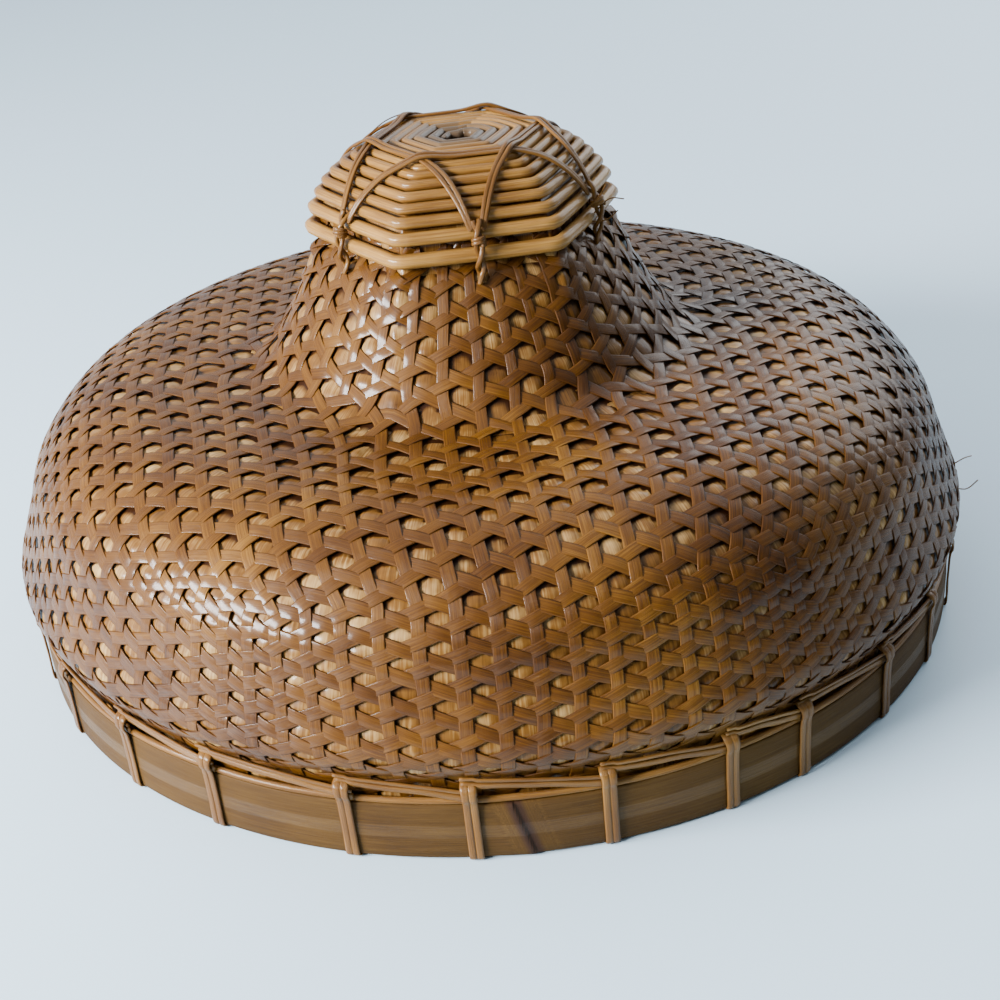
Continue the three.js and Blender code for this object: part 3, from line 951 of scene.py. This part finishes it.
# Each binding leans by its own amount: its sideways place grows evenly along the strand.
def buildBindings():
    s = bindings
    section = sectionOf(s)
    build = Build()
    u = np.linspace(0, 1, s["steps"])
    knob = 1 + s["knob"] * np.exp(-(((u - s["knobAt"]) / s["knobReach"]) ** 2))
    for k, azimuth in enumerate(bindingAzimuths):
        lean = s["lean"] + s["leanChange"] * math.sin(s["leanWaves"] * k)
        for side in (-1, 1):
            own = 2 * k + side
            drift = wander(s["steps"], s["drift"], s["driftWaves"], s["seed"] + own)
            sideways = side * s["apart"] / 2 + lean * (u - s["leanFrom"]) + drift
            path, normals = radialPath(s["profile"], s["steps"], azimuth, sideways)
            build.strand(path, normals, section, s["number"] + own, knob)
    piece = build.finish("binding_strands", strandMaterial)
    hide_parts(*bindingNodes)


buildBindings()
print("bindings built")

# Stray fibres: thin hairs that stand off the cap's corner, the brim's side and the top tie
fibres = {
    "width": 0.55, "thickness": 0.55, "sectionPoints": 6, "squareness": 1.0, "steps": 24, "number": 250,
    "lines": [  # azimuth, r, z
        [(-31, 57.5, 174), (-28, 63, 179), (-25, 68, 178)],
        [(-33, 56, 171), (-30, 62, 171), (-27, 66, 174)],
        [(-36, 57, 177), (-33, 61, 182), (-31, 63, 186)],
        [(-15, 201, 52), (-14, 206, 53), (-12, 210, 50)],
        [(-17, 202, 44), (-15.5, 207, 41), (-14, 212, 42)],
        [(150, 41, 199), (130, 39, 203.5), (112, 37, 204), (96, 36, 200)],
    ],
}


def buildFibres():
    s = fibres
    section = sectionOf(s)
    build = Build()
    for k, line in enumerate(s["lines"]):
        azimuth, radius, z = smoothCurve(line, s["steps"]).T
        path, _ = turnTo(azimuth, radius, z, 0 * z, 0 * z)
        build.strand(path, np.tile((0.0, 0.0, 1.0), (s["steps"], 1)), section, s["number"] + k)
    piece = build.finish("stray_fibres", strandMaterial)


buildFibres()
print("fibres built")


# Camera, where the photograph's was: it circles the hat, looks at the axis and is turned a little
view = {"azimuth": -94.9, "elevation": 27.06, "distance": 743.9, "height": 60.0, "yaw": 0.37,
        "pitch": -1.675, "roll": -5.205, "focal": 1.6895, "sensor": 36.0, "clip": (0.01, 50)}


# Two axes turned in their own plane, the first towards the second.
def turned(first, second, degrees):
    c, s = math.cos(math.radians(degrees)), math.sin(math.radians(degrees))
    return first * c + second * s, second * c - first * s


# Forward, right and up start at the azimuth and elevation, then turn by yaw, pitch and roll.
def makeCamera():
    a, e = math.radians(view["azimuth"]), math.radians(view["elevation"])
    outward = Vector((math.cos(a), math.sin(a), 0))
    place = outward * view["distance"] * math.cos(e)
    place.z = view["distance"] * math.sin(e) + view["height"]
    forward = -outward * math.cos(e) - Vector((0, 0, math.sin(e)))
    right = Vector((-math.sin(a), math.cos(a), 0))
    up = right.cross(forward)
    forward, right = turned(forward, right, view["yaw"])
    forward, up = turned(forward, up, view["pitch"])
    right, up = turned(right, up, view["roll"])
    data = bpy.data.cameras.new("camera")
    data.sensor_width = view["sensor"]
    data.lens = view["focal"] * view["sensor"]
    data.clip_start, data.clip_end = view["clip"]
    camera = bpy.data.objects.new("camera", data)
    camera.matrix_world = Matrix.Translation(place * mm) @ Matrix((right, up, -forward)).transposed().to_4x4()
    bpy.context.scene.collection.objects.link(camera)
    bpy.context.scene.camera = camera


makeCamera()

# Studio: a pale floor, a window-like light from the left, a wide weak one behind and a pale world
studio = {"floor": 6.0, "floorColour": (0.56, 0.73, 0.86), "floorRoughness": 0.55, "aim": (0, 0, 0.08),
          "world": (0.84, 0.92, 1.0), "bright": (-0.2, 0.62, 0.75), "dimFrom": -0.15,
          "dimmest": 0.03, "brightest": 1.6}
lights = [
    {"name": "window", "at": (-1.31, -0.50, 0.66), "size": (0.90, 0.28), "power": 112,
     "colour": (0.97, 0.985, 1.0)},
    {"name": "wall", "at": (1.25, 1.15, 0.95), "size": (1.6, 1.0), "power": 22,
     "colour": (0.93, 0.97, 1.0)},
]


def makeFloor():
    half = studio["floor"] / 2
    mesh = bpy.data.meshes.new("floor")
    corners = [(-half, -half, 0), (half, -half, 0), (half, half, 0), (-half, half, 0)]
    mesh.from_pydata(corners, [], [(0, 1, 2, 3)])
    floor = bpy.data.objects.new("floor", mesh)
    bpy.context.scene.collection.objects.link(floor)
    material = newMaterial("floor_paint")
    Paint(material).set(Base_Color=(*studio["floorColour"], 1), Roughness=studio["floorRoughness"])
    mesh.materials.append(material)


def makeLight(s):
    data = bpy.data.lights.new(s["name"], "AREA")
    data.shape, data.size, data.size_y = "RECTANGLE", *s["size"]
    data.energy, data.color = s["power"], s["colour"]
    light = bpy.data.objects.new(s["name"], data)
    light.location = s["at"]
    light.rotation_euler = (Vector(studio["aim"]) - light.location).to_track_quat("-Z", "Y").to_euler()
    bpy.context.scene.collection.objects.link(light)


# The world's brightness rises with the cosine to its bright direction.
def makeWorld():
    world = bpy.data.worlds.new("studio")
    bpy.context.scene.world = world
    world.use_nodes = True
    p = Paint(world)
    bright = Vector(studio["bright"]).normalized()
    cosine = p.node("VectorMath", {"operation": "DOT_PRODUCT"}, {0: p.place(0), 1: bright}, 1)
    strength = p.fit(cosine, studio["dimFrom"], 1.0, studio["dimmest"], studio["brightest"])
    p.set(Color=(*studio["world"], 1), Strength=strength)


makeFloor()
for light in lights:
    makeLight(light)
makeWorld()
print("studio built")
